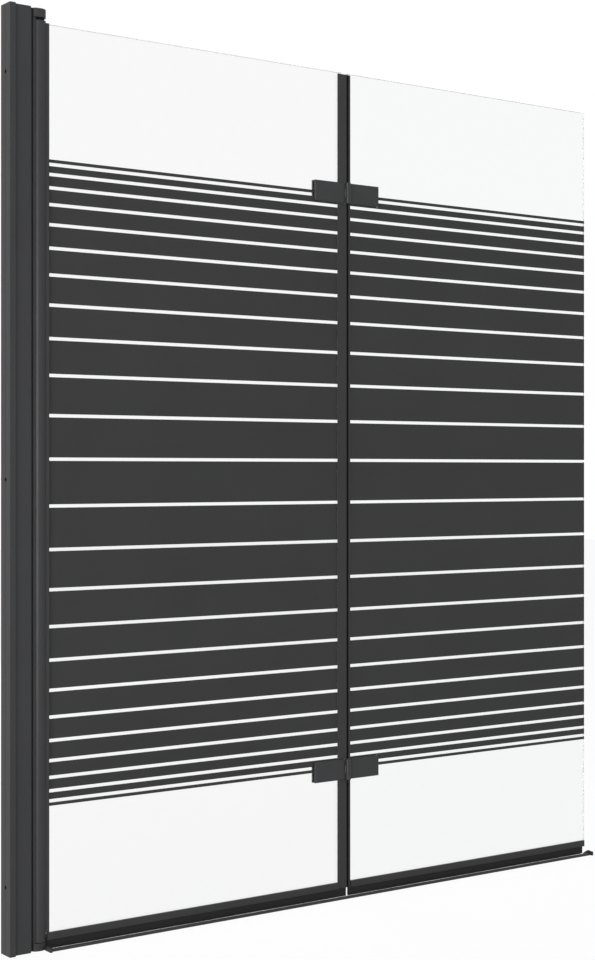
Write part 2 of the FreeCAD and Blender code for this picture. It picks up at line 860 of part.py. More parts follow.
def hinge_leaf(label, height, side, knuckles, bore):
    """Front plate on the outside of the glass with its share of the knuckle."""
    body = new_body(label)
    edges = sorted((leaf_near * side, d.leaf_length * side), key=value_of)
    plate_outline = rectangle(*edges, -leaf_half, leaf_half)
    plate = extrude(body, f"{label}_plate", "XZ_Plane", -leaf_back, d.leaf_thickness, [plate_outline])
    bevel_edges(
        body, plate, f"{label}_bevel", d.leaf_bevel,
        lambda edge: abs(edge.CenterOfMass.y - leaf_front.value) < d.fit_clearance.value
        and abs(edge.CenterOfMass.x) > leaf_near.value + d.fit_clearance.value,
    )
    cut(
        body, f"{label}_screw_hole", "XZ_Plane", -leaf_back - d.overrun, d.hinge_screw_bite + d.overrun,
        circles=[(d.hinge_screw_offset * side, ZERO, hinge_screw_hole)],
    )
    neck_edges = sorted((ZERO, leaf_near * side), key=value_of)
    neck = rectangle(*neck_edges, leaf_front, d.knuckle_radius)
    for number, (low, tall) in enumerate(knuckles, start=1):
        extrude(body, f"{label}_neck_{number}", "XY_Plane", low, tall, [neck])
        extrude(
            body, f"{label}_knuckle_{number}", "XY_Plane", low, tall, circles=[(ZERO, ZERO, d.knuckle_radius)]
        )
    cut(
        body, f"{label}_bore", "XY_Plane", -leaf_half - d.overrun, d.leaf_height + d.overrun * 2,
        circles=[(ZERO, ZERO, bore)],
    )
    return place(body, fold_x, fold_y, height)


def back_plate(label, height, side, glass_edge):
    """Plate on the inside of the glass with a countersunk hole for the hinge screw."""
    body = new_body(label)
    edges = sorted((glass_edge * side, d.leaf_length * side), key=value_of)
    outline = rectangle(*edges, -leaf_half, leaf_half)
    plate = extrude(body, f"{label}_plate", "XZ_Plane", -plate_outer, d.leaf_thickness, [outline])
    bevel_edges(
        body, plate, f"{label}_bevel", d.back_plate_bevel,
        lambda edge: abs(edge.CenterOfMass.y - plate_outer.value) < d.fit_clearance.value,
    )
    screw = d.hinge_screw_offset * side
    hole = screw + hinge_screw_hole
    rim = screw + d.hinge_head_radius + d.fit_clearance
    profile = new_sketch(body, f"{label}_sink_section", "XY_Plane", ZERO)
    draw_polygon(
        profile,
        [
            (screw, plate_inner - d.overrun),
            (hole, plate_inner - d.overrun),
            (hole, plate_outer - d.hinge_head_height - d.fit_clearance),
            (rim, plate_outer),
            (rim, plate_outer + d.overrun),
            (screw, plate_outer + d.overrun),
        ],
    )
    sink = body.newObject("PartDesign::Groove", f"{label}_sink")
    sink.Profile = profile
    sink.ReferenceAxis = (profile, [f"Edge{profile.GeometryCount}"])
    return place(body, fold_x, ZERO, height)


def hinge_pin(label, height):
    body = new_body(label)
    extrude(
        body, f"{label}_rod", "XY_Plane", -leaf_half, d.leaf_height,
        circles=[(ZERO, ZERO, d.hinge_pin_radius)],
    )
    return place(body, fold_x, fold_y, height)


def hinge_pads(label, side, glass_edge):
    """Thin cushions between the plates and both faces of the glass."""
    low, high = sorted((fold_x + d.leaf_length * side, fold_x + glass_edge * side), key=value_of)
    screw_x = fold_x + d.hinge_screw_offset * side
    pads = []
    for name, height in hinge_heights.items():
        for face, y_low in (("front", -plate_inner), ("back", glass_half)):
            pad = new_body(f"{label}_{name}_{face}")
            outline = rectangle(low, high, height - leaf_half, height + leaf_half)
            extrude(
                pad, f"{label}_{name}_{face}_cushion", "XZ_Plane", -y_low - d.pad_thickness, d.pad_thickness,
                [outline], [(screw_x, height, hinge_screw_hole)],
            )
            pads.append(pad)
    return group(label, pads)


def hinge_screws(label, side):
    """Countersunk screws from the inside through the glass into the front plates."""
    screws = []
    for number, (x, z) in enumerate(hinge_screw_places(side), start=1):
        length = plate_outer + plate_inner + d.hinge_screw_bite - d.fit_clearance
        shank = towards_viewer(rod(f"{label}_shank_{number}", d.hinge_screw_radius, length))
        place(shank, x, plate_outer, z)
        head = doc.addObject("Part::Cone", f"{label}_head_{number}")
        head.setExpression("Radius1", d.hinge_head_radius.text)
        head.setExpression("Radius2", d.hinge_screw_radius.text)
        head.setExpression("Height", d.hinge_head_height.text)
        place(towards_viewer(head), x, plate_outer, z)
        screws.append(fuse(f"{label}_{number}", shank, head))
    return group(label, screws)


# Threshold strip on the bath rim


strip_low = strip_start + d.cap_length
strip_high = strip_end - d.cap_length
strip_back = d.strip_depth - d.strip_front
tape_front = -d.strip_front + d.tape_margin
tape_back = strip_back - d.tape_margin


def threshold_strip():
    """Low dam in front of the lips: upright front, flat top, low back edge and a recess for the tape."""
    body = new_body("threshold_strip")
    top_start = -d.strip_front + d.strip_bevel
    section = [
        (-d.strip_front, ZERO),
        (-d.strip_front, d.strip_height - d.strip_bevel),
        (top_start, d.strip_height),
        (top_start + d.strip_top, d.strip_height),
        (strip_back, d.strip_back_height),
        (strip_back, ZERO),
        (tape_back, ZERO),
        (tape_back, d.tape_thickness),
        (tape_front, d.tape_thickness),
        (tape_front, ZERO),
    ]
    extrude(body, "strip_extrusion", "YZ_Plane", strip_low, strip_high - strip_low, [section])
    return body


def threshold_tape():
    """Adhesive tape in the recess under the strip."""
    body = new_body("threshold_tape")
    outline = rectangle(strip_low, strip_high, tape_front, tape_back)
    extrude(body, "tape_length", "XY_Plane", ZERO, d.tape_thickness, [outline])
    return body


def threshold_cap(label, start):
    """Cap that closes one end of the strip, rises above it and falls away under the glass."""
    body = new_body(label)
    outline = [
        (-d.cap_front, ZERO),
        (-d.cap_front, d.cap_front_height),
        (-d.cap_peak_place, d.cap_peak_height),
        (-d.cap_foot_place, ZERO),
    ]
    extrude(body, f"{label}_plate", "YZ_Plane", start, d.cap_length, [outline])
    return body


def threshold_cap_wall():
    """The wall's cap is hollowed to seat on the bottom bracket's nose."""
    body = threshold_cap("threshold_cap_wall", strip_start)
    cut(
        body, "threshold_cap_wall_seat", "XY_Plane", -d.overrun, d.cap_peak_height + d.overrun * 2,
        circles=[(pivot_x, ZERO, d.barrel_radius)],
    )
    return body


def threshold_cap_end():
    return threshold_cap("threshold_cap_end", strip_high)


def build():
    """Every sub-part, in the order of the bodies that carry them."""
    rail_start = pivot_x + d.barrel_radius + d.rail_gap
    inner_rail_end = inner_seal_start - d.rail_seal_gap
    outer_rail_start = outer_seal_end + d.rail_seal_gap
    outer_rail_end = outer_glass_end - d.rail_end_inset
    inner_lip_end = fold_x - d.lip_fold_gap
    outer_lip_end = strip_high - d.lip_end_gap
    inner_back_clip = inner_glass_end - d.inner_seal_back_clip
    inner_pin_bore = d.hinge_pin_radius + d.fit_clearance
    outer_pin_bore = d.hinge_pin_radius + d.pin_clearance
    pieces = [
        wall_channel(),
        hinge_post(),
        barrel_seal(),
        screw_caps(),
        top_bracket(),
        bottom_bracket(),
        bracket_screws(),
        top_pivot_pin(),
        bottom_pivot_pin(),
        threshold_strip(),
        threshold_tape(),
        threshold_cap_wall(),
        threshold_cap_end(),
        hinge_profile(),
        upper_bush(),
        lower_bush(),
        glazing_gasket(),
        glass("inner_glass", inner_glass_start, inner_glass_end, -1),
        bands("inner_bands", profile_end, inner_seal_start, fold_x - d.leaf_length, inner_seal_start),
        edge_seal(
            "inner_edge_seal", inner_seal_start, inner_back_clip, inner_glass_end, 1, d.inner_seal_side
        ),
        rail("inner_rail", rail_start, inner_rail_end),
        lip("inner_lip", rail_start, inner_lip_end, inner_rail_end),
        hinge_pads("inner_hinge_pads", -1, d.inner_edge_gap),
        hinge_screws("inner_hinge_screws", -1),
        glass("outer_glass", outer_glass_start, outer_glass_end, 1),
        bands("outer_bands", outer_seal_end, outer_glass_end, outer_seal_end, fold_x + d.leaf_length),
        edge_seal(
            "outer_edge_seal", outer_seal_end, outer_seal_end, outer_glass_start, -1, d.outer_seal_side
        ),
        rail("outer_rail", outer_rail_start, outer_rail_end),
        lip("outer_lip", outer_rail_start, outer_lip_end, outer_rail_end),
        hinge_pads("outer_hinge_pads", 1, leaf_near),
        hinge_screws("outer_hinge_screws", 1),
    ]
    for name, height in hinge_heights.items():
        pieces += [
            hinge_leaf(f"{name}_inner_leaf", height, -1, outer_knuckles, inner_pin_bore),
            back_plate(f"{name}_inner_back_plate", height, -1, d.inner_edge_gap),
            hinge_pin(f"{name}_hinge_pin", height),
            hinge_leaf(f"{name}_outer_leaf", height, 1, middle_knuckles, outer_pin_bore),
            back_plate(f"{name}_outer_back_plate", height, 1, leaf_near),
        ]
    return pieces


def check(pieces):
    """Stops before anything is written if a feature failed or a shape is empty or broken."""
    failed = [item.Name for item in doc.Objects if {"Invalid", "Error"} & set(item.State)]
    broken = [piece.Label for piece in pieces if piece.Shape.isNull() or not piece.Shape.isValid()]
    if failed or broken:
        raise RuntimeError(f"failed features: {failed}, broken shapes: {broken}")


pieces = build()
doc.recompute()
check(pieces)
os.makedirs("parts", exist_ok=True)
for piece in pieces:
    piece.Shape.exportStep(f"parts/{piece.Label}.step")
    box_of = piece.Shape.BoundBox
    print(f"{piece.Label}: {len(piece.Shape.Solids)} solids, {piece.Shape.Volume:.1f} mm3, {box_of}")
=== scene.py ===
"""Looks of the folding bath screen: dark coated frame, clear glass with printed bands, soft seals, screws.

All lengths are in metres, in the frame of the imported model: X along the closed screen, +Y into the bath,
Z up.
"""
import json
import math

import bmesh
import bpy
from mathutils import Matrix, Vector


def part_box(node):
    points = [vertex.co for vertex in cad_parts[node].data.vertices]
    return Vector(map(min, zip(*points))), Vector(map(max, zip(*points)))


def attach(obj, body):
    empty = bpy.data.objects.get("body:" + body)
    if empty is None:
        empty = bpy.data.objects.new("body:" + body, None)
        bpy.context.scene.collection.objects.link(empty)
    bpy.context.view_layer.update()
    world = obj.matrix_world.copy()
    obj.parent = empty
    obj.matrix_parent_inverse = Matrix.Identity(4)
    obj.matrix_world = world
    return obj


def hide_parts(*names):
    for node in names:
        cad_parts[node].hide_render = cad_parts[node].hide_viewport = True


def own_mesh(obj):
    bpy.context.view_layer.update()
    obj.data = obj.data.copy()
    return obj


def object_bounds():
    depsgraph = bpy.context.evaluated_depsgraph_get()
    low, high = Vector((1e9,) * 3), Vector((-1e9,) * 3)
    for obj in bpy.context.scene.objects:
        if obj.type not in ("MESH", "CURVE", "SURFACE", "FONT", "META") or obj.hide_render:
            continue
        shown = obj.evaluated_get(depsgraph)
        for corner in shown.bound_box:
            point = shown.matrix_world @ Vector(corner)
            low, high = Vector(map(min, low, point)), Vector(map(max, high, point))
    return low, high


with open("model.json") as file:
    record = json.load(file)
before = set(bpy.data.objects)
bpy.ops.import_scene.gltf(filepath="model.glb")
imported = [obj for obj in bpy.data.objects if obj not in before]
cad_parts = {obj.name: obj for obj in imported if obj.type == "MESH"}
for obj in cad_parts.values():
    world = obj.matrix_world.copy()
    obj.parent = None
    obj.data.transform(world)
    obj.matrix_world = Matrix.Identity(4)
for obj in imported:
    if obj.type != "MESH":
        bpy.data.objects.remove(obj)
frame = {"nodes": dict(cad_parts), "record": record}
cad_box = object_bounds()
nodes = frame["nodes"]
record = frame["record"]
slot_of = {part["node"]: part["material_slot"] for part in record["subparts"]}
body_of = {node: body for body, members in record["behaviour"]["bodies"].items() for node in members}

MM = 0.001
HINGES = ("upper", "lower")
CIRCLE_POINTS = 48
TINY = 1e-9


# Camera and studio


def add_camera():
    """The photograph's view: level, from outside the bath and from the wall's side."""
    image_height_px = 960
    focal_px = 1768.5
    horizon_px_above_middle = 10
    sensor = 36.0
    data = bpy.data.cameras.new("camera")
    data.sensor_width = sensor
    data.lens = focal_px / image_height_px * sensor
    data.shift_y = -horizon_px_above_middle / image_height_px
    data.clip_end = 50.0
    camera = bpy.data.objects.new("camera", data)
    camera.location = (-1.1807, -2.3553, 0.714)
    camera.rotation_euler = (math.radians(90), 0, math.radians(-36))
    bpy.context.collection.objects.link(camera)
    bpy.context.scene.camera = camera


def add_area_light(name, location, target, size, power, in_gloss):
    """A soft box aimed at a place on the screen, which is seen neither directly nor through the glass.

    Only a box that is in gloss has a mirror image in the coats and the glass.
    """
    data = bpy.data.lights.new(name, "AREA")
    data.shape = "RECTANGLE"
    data.size, data.size_y = size
    data.energy = power
    light = bpy.data.objects.new(name, data)
    light.location = location
    aim = Vector(target) - Vector(location)
    light.rotation_euler = aim.to_track_quat("-Z", "Y").to_euler()
    light.visible_camera = False
    light.visible_transmission = False
    light.visible_glossy = in_gloss
    bpy.context.collection.objects.link(light)


def rays_that_see_the_backdrop(tree):
    """One for camera, glossy and transmission rays, nought for the rays that light the object."""
    path = tree.nodes.new("ShaderNodeLightPath")
    seen = path.outputs["Is Camera Ray"]
    for kind in ("Is Glossy Ray", "Is Transmission Ray"):
        either = tree.nodes.new("ShaderNodeMath")
        either.operation = "MAXIMUM"
        tree.links.new(seen, either.inputs[0])
        tree.links.new(path.outputs[kind], either.inputs[1])
        seen = either.outputs[0]
    return seen


def add_world():
    """White where it is seen, also in gloss and glass, and a soft grey where it lights the object."""
    world = bpy.data.worlds.new("studio")
    bpy.context.scene.world = world
    world.use_nodes = True
    tree = world.node_tree
    tree.nodes.clear()
    output = tree.nodes.new("ShaderNodeOutputWorld")
    mix = tree.nodes.new("ShaderNodeMixShader")
    seen = tree.nodes.new("ShaderNodeBackground")
    seen.inputs["Color"].default_value = (1, 1, 1, 1)
    around = tree.nodes.new("ShaderNodeBackground")
    around.inputs["Color"].default_value = (0.45, 0.455, 0.46, 1)
    tree.links.new(rays_that_see_the_backdrop(tree), mix.inputs["Fac"])
    tree.links.new(around.outputs[0], mix.inputs[1])
    tree.links.new(seen.outputs[0], mix.inputs[2])
    tree.links.new(mix.outputs[0], output.inputs["Surface"])


def add_floor():
    """A pale floor just below the bath rim, nearly as white as the backdrop, with a faint shadow."""
    half_side = 12.0
    below_rim = 0.2 * MM
    backdrop_share = 0.92
    corners = [(-1, -1), (1, -1), (1, 1), (-1, 1)]
    mesh = bpy.data.meshes.new("floor")
    mesh.from_pydata([(half_side * x, half_side * y, 0) for x, y in corners], [], [(0, 1, 2, 3)])
    floor = bpy.data.objects.new("floor", mesh)
    floor.location.z = -below_rim
    bpy.context.collection.objects.link(floor)
    material, tree, shader = new_material("floor_white")
    shader.inputs["Base Color"].default_value = (0.86, 0.86, 0.86, 1)
    shader.inputs["Roughness"].default_value = 0.9
    shader.inputs["Specular IOR Level"].default_value = 0.0
    glow = tree.nodes.new("ShaderNodeEmission")
    mix = tree.nodes.new("ShaderNodeMixShader")
    share = tree.nodes.new("ShaderNodeMath")
    share.operation = "MULTIPLY"
    share.inputs[1].default_value = backdrop_share
    tree.links.new(rays_that_see_the_backdrop(tree), share.inputs[0])
    tree.links.new(share.outputs[0], mix.inputs["Fac"])
    tree.links.new(shader.outputs[0], mix.inputs[1])
    tree.links.new(glow.outputs[0], mix.inputs[2])
    tree.links.new(mix.outputs[0], tree.nodes["Material Output"].inputs["Surface"])
    mesh.materials.append(material)


def add_studio():
    """Camera, backdrop and lamps."""
    add_camera()
    add_world()
    add_floor()
    middle = ((cad_box[0][0] + cad_box[1][0]) / 2, 0, (cad_box[0][2] + cad_box[1][2]) / 2)
    add_area_light(
        "key_box", location=(-2.9, -2.9, 0.6), target=(0.1, 0, 0.6),
        size=(1.8, 1.8), power=125, in_gloss=False,
    )
    add_area_light(
        "side_box", location=(-3.5, -1.7, 0.6), target=(0, 0, 0.6),
        size=(1.4, 1.8), power=150, in_gloss=True,
    )
    add_area_light(
        "back_box", location=(0.7, 3.6, 1.3), target=middle,
        size=(2.0, 2.0), power=70, in_gloss=False,
    )
    add_area_light(
        "front_box", location=(0.9, -4.2, 0.7), target=middle,
        size=(2.4, 1.8), power=62, in_gloss=False,
    )
    add_area_light(
        "top_box", location=(0.6, -0.6, 3.6), target=(0.6, 0, 0),
        size=(2.4, 1.4), power=25, in_gloss=True,
    )
    bpy.context.scene.view_settings.view_transform = "Standard"


# Materials


def new_material(name):
    """A new material with its node tree and its main shader."""
    material = bpy.data.materials.new(name)
    material.use_nodes = True
    return material, material.node_tree, material.node_tree.nodes["Principled BSDF"]


def object_noise(tree, scale, detail):
    """Noise in the object's own space, so that its grain has a real size."""
    place = tree.nodes.new("ShaderNodeTexCoord")
    noise = tree.nodes.new("ShaderNodeTexNoise")
    noise.inputs["Scale"].default_value = scale
    noise.inputs["Detail"].default_value = detail
    tree.links.new(place.outputs["Object"], noise.inputs["Vector"])
    return noise.outputs["Fac"]


def spread(tree, noise, low, high):
    """Maps the middle of a noise's range, where most of its values lie, to another range."""
    span = tree.nodes.new("ShaderNodeMapRange")
    span.inputs["From Min"].default_value = 0.3
    span.inputs["From Max"].default_value = 0.7
    span.inputs["To Min"].default_value = low
    span.inputs["To Max"].default_value = high
    tree.links.new(noise, span.inputs["Value"])
    return span.outputs["Result"]


def tinted(tree, noise, colour, change):
    """Varies a colour a little, darker and lighter, by a noise."""
    mix = tree.nodes.new("ShaderNodeMix")
    mix.data_type = "RGBA"
    mix.inputs["A"].default_value = (*[part * (1 - change) for part in colour], 1)
    mix.inputs["B"].default_value = (*[part * (1 + change) for part in colour], 1)
    tree.links.new(spread(tree, noise, 0, 1), mix.inputs["Factor"])
    return mix.outputs["Result"]


def bumped(tree, shader, noise, strength, depth, edge_radius):
    """Raises the surface by a noise and eases its sharp edges by a small radius, if it has one."""
    bump = tree.nodes.new("ShaderNodeBump")
    bump.inputs["Strength"].default_value = strength
    bump.inputs["Distance"].default_value = depth
    tree.links.new(noise, bump.inputs["Height"])
    if edge_radius:
        edge = tree.nodes.new("ShaderNodeBevel")
        edge.samples = 4
        edge.inputs["Radius"].default_value = edge_radius
        tree.links.new(edge.outputs["Normal"], bump.inputs["Normal"])
    tree.links.new(bump.outputs["Normal"], shader.inputs["Normal"])


def grained(
    name, colour, roughness, grain_scale, grain_depth, metallic=0.0, specular=0.25, edge_radius=0.3 * MM
):
    """A surface with a fine grain, a slow change of colour and an uneven gloss."""
    material, tree, shader = new_material(name)
    slow = object_noise(tree, scale=6.0, detail=4.0)
    grain = object_noise(tree, scale=grain_scale, detail=2.0)
    tree.links.new(tinted(tree, slow, colour, change=0.07), shader.inputs["Base Color"])
    tree.links.new(spread(tree, grain, *roughness), shader.inputs["Roughness"])
    bumped(tree, shader, grain, strength=0.25, depth=grain_depth, edge_radius=edge_radius)
    shader.inputs["Metallic"].default_value = metallic
    shader.inputs["Specular IOR Level"].default_value = specular
    return material


def facing(tree, axis, least):
    """One where the surface faces along an axis of the object, either way, nought elsewhere."""
    place = tree.nodes.new("ShaderNodeTexCoord")
    parts = tree.nodes.new("ShaderNodeSeparateXYZ")
    size = tree.nodes.new("ShaderNodeMath")
    size.operation = "ABSOLUTE"
    faces = tree.nodes.new("ShaderNodeMath")
    faces.operation = "GREATER_THAN"
    faces.inputs[1].default_value = least
    tree.links.new(place.outputs["Normal"], parts.inputs[0])
    tree.links.new(parts.outputs[axis], size.inputs[0])
    tree.links.new(size.outputs[0], faces.inputs[0])
    return faces.outputs[0]


def see_through(name, colour, roughness, tint, density, edge_roughness, painted_edge_shade):
    """A clear solid with a slow wave in its large faces, rough ground edges and a tint in its depth; its
    upright edges get a darker colour as painted shade.
    """
    material, tree, shader = new_material(name)
    shader.inputs["IOR"].default_value = 1.5
    shader.inputs["Transmission Weight"].default_value = 1.0
    # Painted shade: faces looking along X, the upright edges, get a darker colour that stands in for the
    # grey line a glass edge shows.
    edge = tree.nodes.new("ShaderNodeMix")
    edge.data_type = "RGBA"
    edge.inputs["A"].default_value = (*colour, 1)
    edge.inputs["B"].default_value = (*painted_edge_shade, 1)
    tree.links.new(facing(tree, "X", least=0.5), edge.inputs["Factor"])
    tree.links.new(edge.outputs["Result"], shader.inputs["Base Color"])
    wave = object_noise(tree, scale=3.0, detail=1.0)
    finish = tree.nodes.new("ShaderNodeMix")
    finish.inputs["A"].default_value = edge_roughness
    tree.links.new(facing(tree, "Y", least=0.9), finish.inputs["Factor"])
    tree.links.new(spread(tree, wave, *roughness), finish.inputs["B"])
    tree.links.new(finish.outputs["Result"], shader.inputs["Roughness"])
    bumped(tree, shader, wave, strength=0.1, depth=0.05 * MM, edge_radius=0)
    absorption = tree.nodes.new("ShaderNodeVolumeAbsorption")
    absorption.inputs["Color"].default_value = (*tint, 1)
    absorption.inputs["Density"].default_value = density
    tree.links.new(absorption.outputs[0], tree.nodes["Material Output"].inputs["Volume"])
    return material


def make_materials():
    """One material for each slot of the record, and one for the black core of a seal, whose near-black is
    partly painted shade.
    """
    solid = {
        "frame_coat": dict(
            colour=(0.0175, 0.0178, 0.0188), roughness=(0.4, 0.5), grain_scale=1800, grain_depth=0.05 * MM
        ),
        "hinge_coat": dict(
            colour=(0.0185, 0.0188, 0.0198), roughness=(0.32, 0.4), grain_scale=2200, grain_depth=0.03 * MM
        ),
        "caps": dict(
            colour=(0.0175, 0.0175, 0.0183), roughness=(0.45, 0.55), grain_scale=1500, grain_depth=0.04 * MM
        ),
        "print": dict(
            colour=(0.0156, 0.0158, 0.0163), roughness=(0.5, 0.58), grain_scale=2600, grain_depth=0.01 * MM,
            edge_radius=0,
        ),
        "seals": dict(
            colour=(0.0185, 0.0185, 0.0192), roughness=(0.6, 0.72), grain_scale=1200, grain_depth=0.05 * MM
        ),
        "black_seals": dict(
            colour=(0.009, 0.009, 0.0094), roughness=(0.5, 0.62), grain_scale=1200, grain_depth=0.05 * MM,
            specular=0.2,
        ),
        # Black rubber, made darker still as painted shade for the gap between the seals at the fold.
        "black_core_painted_shade": dict(
            colour=(0.003, 0.003, 0.0032), roughness=(0.6, 0.7), grain_scale=1200, grain_depth=0.05 * MM,
            specular=0.06,
        ),
        # Near-black: the bushes' black nylon, and in the upper bush's slot partly painted shade.
        "nylon": dict(
            colour=(0.003, 0.003, 0.0032), roughness=(0.55, 0.65), grain_scale=900, grain_depth=0.03 * MM,
            specular=0.06,
        ),
        "tape": dict(
            colour=(0.64, 0.64, 0.62), roughness=(0.8, 0.9), grain_scale=700, grain_depth=0.1 * MM
        ),
        "steel": dict(
            colour=(0.54, 0.54, 0.545), roughness=(0.28, 0.36), grain_scale=1600, grain_depth=0.02 * MM,
            metallic=1.0,
        ),
    }
    # painted_edge_shade is the darker colour painted on the upright edges, as painted shade.
    pane = dict(
        roughness=(0.0, 0.004), tint=(0.4, 0.64, 0.5), density=1.5,
        edge_roughness=0.55, painted_edge_shade=(0.62, 0.66, 0.64),
    )
    bead = dict(
        roughness=(0.3, 0.4), tint=(0.7, 0.72, 0.7), density=30.0,
        edge_roughness=0.4, painted_edge_shade=(0.86, 0.88, 0.87),
    )
    clear = {
        "clear_gasket": dict(colour=(0.86, 0.88, 0.87), **bead),
        "inner_glass": dict(colour=(0.938, 0.94, 0.939), **pane),
        "outer_glass": dict(colour=(0.936, 0.945, 0.942), **pane),
    }
    made = {name: grained(name, **values) for name, values in solid.items()}
    made.update({name: see_through(name, **values) for name, values in clear.items()})
    return made


def dress_nodes(materials):
    """Every CAD node gets the finish of its slot in the record, but the lower bush is grey as the caps are:
    the two bushes are lit and shaded copies, the upper one's near-black nylon partly painted shade in its
    slot.

    The panes cast no shadow, so that the light reaches what lies behind them.
    """
    for name, slot in slot_of.items():
        nodes[name].data.materials.clear()
        nodes[name].data.materials.append(materials[slot])
    # Painted light: the lower bush takes the caps' grey so that no dark line shows at the barrel's foot, a
    # lit copy of the upper bush.
    nodes["lower_bush"].data.materials[0] = materials["caps"]
    for pane in ("inner_glass", "outer_glass"):
        nodes[pane].visible_shadow = False


# Formed pieces


def both_sides(half):
    """A closed outline from one half of it, mirrored in its second coordinate."""
    return [*half, *[(along, -across) for along, across in reversed(half)]]


def rounded(outline, radius):
    """The closed outline with every corner eased into a short curve."""
    steps = 3
    most_of_a_side = 0.45
    corners = [Vector(point) for point in outline]
    eased = []
    for before, corner, after in zip(corners[-1:] + corners[:-1], corners, corners[1:] + corners[:1]):
        start = corner + (before - corner) * min(most_of_a_side, radius / (before - corner).length)
        end = corner + (after - corner) * min(most_of_a_side, radius / (after - corner).length)
        for step in range(steps + 1):
            share = step / steps
            eased.append(start.lerp(corner, share).lerp(corner.lerp(end, share), share))
    return [tuple(point) for point in eased]


def circle_angles():
    """Even steps round a full turn."""
    return [2 * math.pi * step / CIRCLE_POINTS for step in range(CIRCLE_POINTS)]


def skin(bm, rings, joined=False):
    """Faces between rings of points, in order, with the two ends filled or joined to each other."""
    made = [[bm.verts.new(point) for point in ring] for ring in rings]
    following_rings = made[1:] + made[:1] if joined else made[1:]
    for ring, following in zip(made, following_rings):
        for index in range(len(ring)):
            after = (index + 1) % len(ring)
            bm.faces.new((ring[index], ring[after], following[after], following[index]))
    if not joined:
        bm.faces.new(made[0])
        bm.faces.new(made[-1])
    return made


def upright_bar(bm, outline, low, high):
    """A bar between two heights, from its outline in X and Y."""
    return skin(bm, [[(x, y, z) for x, y in outline] for z in (low, high)])


def stand_in(node, bm, materials, *finishes):
    """Hides a CAD node and puts a formed piece in its place, on the same body.

    It has the finish of its slot, unless finishes are named for its faces' material indices.
    """
    sharp_angle = math.radians(40)
    mesh = bpy.data.meshes.new(f"{node}_form")
    bmesh.ops.recalc_face_normals(bm, faces=bm.faces)
    bm.to_mesh(mesh)
    bm.free()
    mesh.shade_smooth()
    mesh.set_sharp_from_angle(angle=sharp_angle)
    for finish in finishes or [slot_of[node]]:
        mesh.materials.append(materials[finish])
    piece = bpy.data.objects.new(f"{node}_form", mesh)
    bpy.context.collection.objects.link(piece)
    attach(piece, body_of[node])
    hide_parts(node)
    return piece


def upright_lengths(low, high):
    """Where a seal along the fold runs: below, between and above the hinges."""
    end_gap = 0.3 * MM
    ends = [low]
    for hinge in reversed(HINGES):
        leaf_low, leaf_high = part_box(f"{hinge}_inner_leaf")
        ends += [leaf_low.z - end_gap, leaf_high.z + end_gap]
    ends.append(high)
    return list(zip(ends[::2], ends[1::2]))


def add_edge_seals(materials):
    """Clip-on profiles along the fold: a flat one, and a slim one with a black core between its legs, its
    near-black partly painted shade for the gap at the fold.
    """
    slip = 0.04 * MM
    glass_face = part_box("inner_glass")[1].y + slip
    low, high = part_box("inner_edge_seal")
    glass_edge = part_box("inner_glass")[1].x + slip
    side = high.y
    nose = 0.5 * MM
    easing = 0.2 * MM
    back_clip = glass_edge - 4.2 * MM
    outline = [
        (low.x, -glass_face),
        (low.x, -side),
        (high.x - nose, -side),
        (high.x, nose - side),
        (high.x, side - nose),
        (high.x - nose, side),
        (back_clip, side),
        (back_clip, glass_face),
        (glass_edge, glass_face),
        (glass_edge, -glass_face),
    ]
    bm = bmesh.new()
    for start, end in upright_lengths(low.z, high.z):
        upright_bar(bm, rounded(outline, easing), start, end)
    stand_in("inner_edge_seal", bm, materials)

    low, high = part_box("outer_edge_seal")
    glass_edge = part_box("outer_glass")[0].x - slip
    side = high.y
    easing = 0.3 * MM
    clip_start = glass_edge + 1.5 * MM
    core_side = glass_face + 0.6 * MM
    core_nose = 1.0 * MM
    core = both_sides([
        (glass_edge, -glass_face),
        (clip_start, -glass_face),
        (clip_start, -core_side),
        (low.x + core_nose, -core_side),
        (low.x, core_nose - core_side),
    ])
    legs = [
        [(clip_start, near), (high.x, near), (high.x, far), (clip_start, far)]
        for near, far in ((-side, -glass_face), (glass_face, side))
    ]
    bm = bmesh.new()
    for start, end in upright_lengths(low.z, high.z):
        for outline in (core, *legs):
            made = upright_bar(bm, rounded(outline, easing), start, end)
            for face in {face for ring in made for vertex in ring for face in vertex.link_faces}:
                # The core's faces get the near-black material, painted shade for the gap between the seals.
                face.material_index = int(outline is core)
    stand_in("outer_edge_seal", bm, materials, "seals", "black_core_painted_shade")


